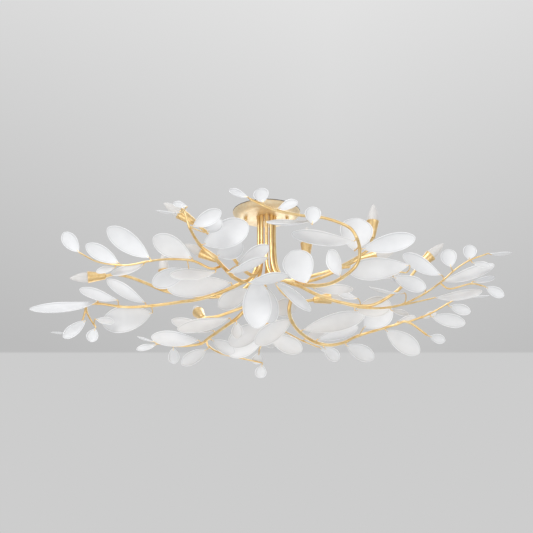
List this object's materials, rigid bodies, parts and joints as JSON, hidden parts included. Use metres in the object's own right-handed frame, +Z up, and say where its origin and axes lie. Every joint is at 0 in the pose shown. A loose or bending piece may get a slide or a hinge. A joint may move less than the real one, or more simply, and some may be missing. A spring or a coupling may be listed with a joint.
{
  "type": "semi-flush ceiling light",
  "caption": "Semi-flush ceiling light: round canopy, bent branch arms with cupped candelabra lamps, and dished leaves on twigs.",
  "frame": {"origin": "centre of the canopy on the ceiling plane, midway between the crossbar's two screw slots", "axes": "+Z up into the ceiling, +X along the light's longest side and along the crossbar, -Y the pictured side"},
  "size_m": [1.5021, 0.8254, 0.434],
  "materials": {
    "gilded_iron": "satin gold leaf",
    "gilded_cup": "satin gold leaf",
    "gilded_canopy": "matte gold leaf",
    "gilded_brass": "satin",
    "white_leaf": "matte white",
    "frosted_glass": "frosted",
    "socket_plastic": "matte",
    "foam_rubber": "matte",
    "zinc_steel": "zinc plated",
    "green_screw": "satin"
  },
  "bodies": {
    "fixture": {"canopy": "gilded_canopy", "canopy_gasket": "foam_rubber", "ceiling_bracket": "zinc_steel", "bracket_studs": "zinc_steel", "ground_screw": "green_screw", "stem_plate": "zinc_steel", "lamp_sockets": "socket_plastic", "lamp_arm_1": "gilded_iron", "lamp_arm_2": "gilded_iron", "lamp_arm_3": "gilded_iron", "lamp_arm_4": "gilded_iron", "lamp_arm_5": "gilded_iron", "lamp_arm_6": "gilded_iron", "lamp_arm_7": "gilded_iron", "lamp_arm_8": "gilded_iron", "lamp_arm_9": "gilded_iron", "lamp_arm_10": "gilded_iron", "lamp_cup_1": "gilded_cup", "lamp_cup_2": "gilded_cup", "lamp_cup_3": "gilded_cup", "lamp_cup_4": "gilded_cup", "lamp_cup_5": "gilded_cup", "lamp_cup_6": "gilded_cup", "lamp_cup_7": "gilded_cup", "lamp_cup_8": "gilded_cup", "lamp_cup_9": "gilded_cup", "lamp_cup_10": "gilded_cup", "sprig_1": "gilded_iron", "sprig_2": "gilded_iron", "sprig_3": "gilded_iron", "sprig_4": "gilded_iron", "sprig_5": "gilded_iron", "sprig_6": "gilded_iron", "sprig_7": "gilded_iron", "sprig_8": "gilded_iron", "sprig_9": "gilded_iron", "sprig_10": "gilded_iron", "leaves_1": "white_leaf", "leaves_2": "white_leaf", "leaves_3": "white_leaf", "leaves_4": "white_leaf", "leaves_5": "white_leaf", "leaves_6": "white_leaf", "leaves_7": "white_leaf", "leaves_8": "white_leaf", "leaves_9": "white_leaf", "leaves_10": "white_leaf"},
    "nut_left": {"canopy_nut_left": "gilded_brass"},
    "nut_right": {"canopy_nut_right": "gilded_brass"},
    "bulb_1": {"bulb_1": "frosted_glass"},
    "bulb_2": {"bulb_2": "frosted_glass"},
    "bulb_3": {"bulb_3": "frosted_glass"},
    "bulb_4": {"bulb_4": "frosted_glass"},
    "bulb_5": {"bulb_5": "frosted_glass"},
    "bulb_6": {"bulb_6": "frosted_glass"},
    "bulb_7": {"bulb_7": "frosted_glass"},
    "bulb_8": {"bulb_8": "frosted_glass"},
    "bulb_9": {"bulb_9": "frosted_glass"},
    "bulb_10": {"bulb_10": "frosted_glass"}
  },
  "joints": [
    {"name": "nut_left_turn", "type": "hinge", "parent": "fixture", "child": "nut_left", "pos_m": [-0.066, 0, -0.025], "axis": [0, 0, 1], "continuous": true},
    {"name": "nut_right_turn", "type": "hinge", "parent": "fixture", "child": "nut_right", "pos_m": [0.066, 0, -0.025], "axis": [0, 0, 1], "continuous": true},
    {"name": "bulb_1_out", "type": "slide", "parent": "fixture", "child": "bulb_1", "axis": [-0.9919, -0.0794, -0.0992], "range_m": [0, 0.03]},
    {"name": "bulb_2_out", "type": "slide", "parent": "fixture", "child": "bulb_2", "axis": [-0.8419, -0.2004, 0.5011], "range_m": [0, 0.03]},
    {"name": "bulb_3_out", "type": "slide", "parent": "fixture", "child": "bulb_3", "axis": [-0.8903, 0, 0.4553], "range_m": [0, 0.03]},
    {"name": "bulb_4_out", "type": "slide", "parent": "fixture", "child": "bulb_4", "axis": [0.0797, 0, 0.9968], "range_m": [0, 0.03]},
    {"name": "bulb_5_out", "type": "slide", "parent": "fixture", "child": "bulb_5", "axis": [0.733, -0.1004, 0.6728], "range_m": [0, 0.03]},
    {"name": "bulb_6_out", "type": "slide", "parent": "fixture", "child": "bulb_6", "axis": [0.04, 0, 0.9992], "range_m": [0, 0.03]},
    {"name": "bulb_7_out", "type": "slide", "parent": "fixture", "child": "bulb_7", "axis": [0.9794, -0.049, 0.1959], "range_m": [0, 0.03]},
    {"name": "bulb_8_out", "type": "slide", "parent": "fixture", "child": "bulb_8", "axis": [0.9841, 0.0984, 0.1476], "range_m": [0, 0.03]},
    {"name": "bulb_9_out", "type": "slide", "parent": "fixture", "child": "bulb_9", "axis": [-0.2981, 0.7454, 0.5963], "range_m": [0, 0.03]},
    {"name": "bulb_10_out", "type": "slide", "parent": "fixture", "child": "bulb_10", "axis": [-0.0995, 0, 0.995], "range_m": [0, 0.03]}
  ]
}
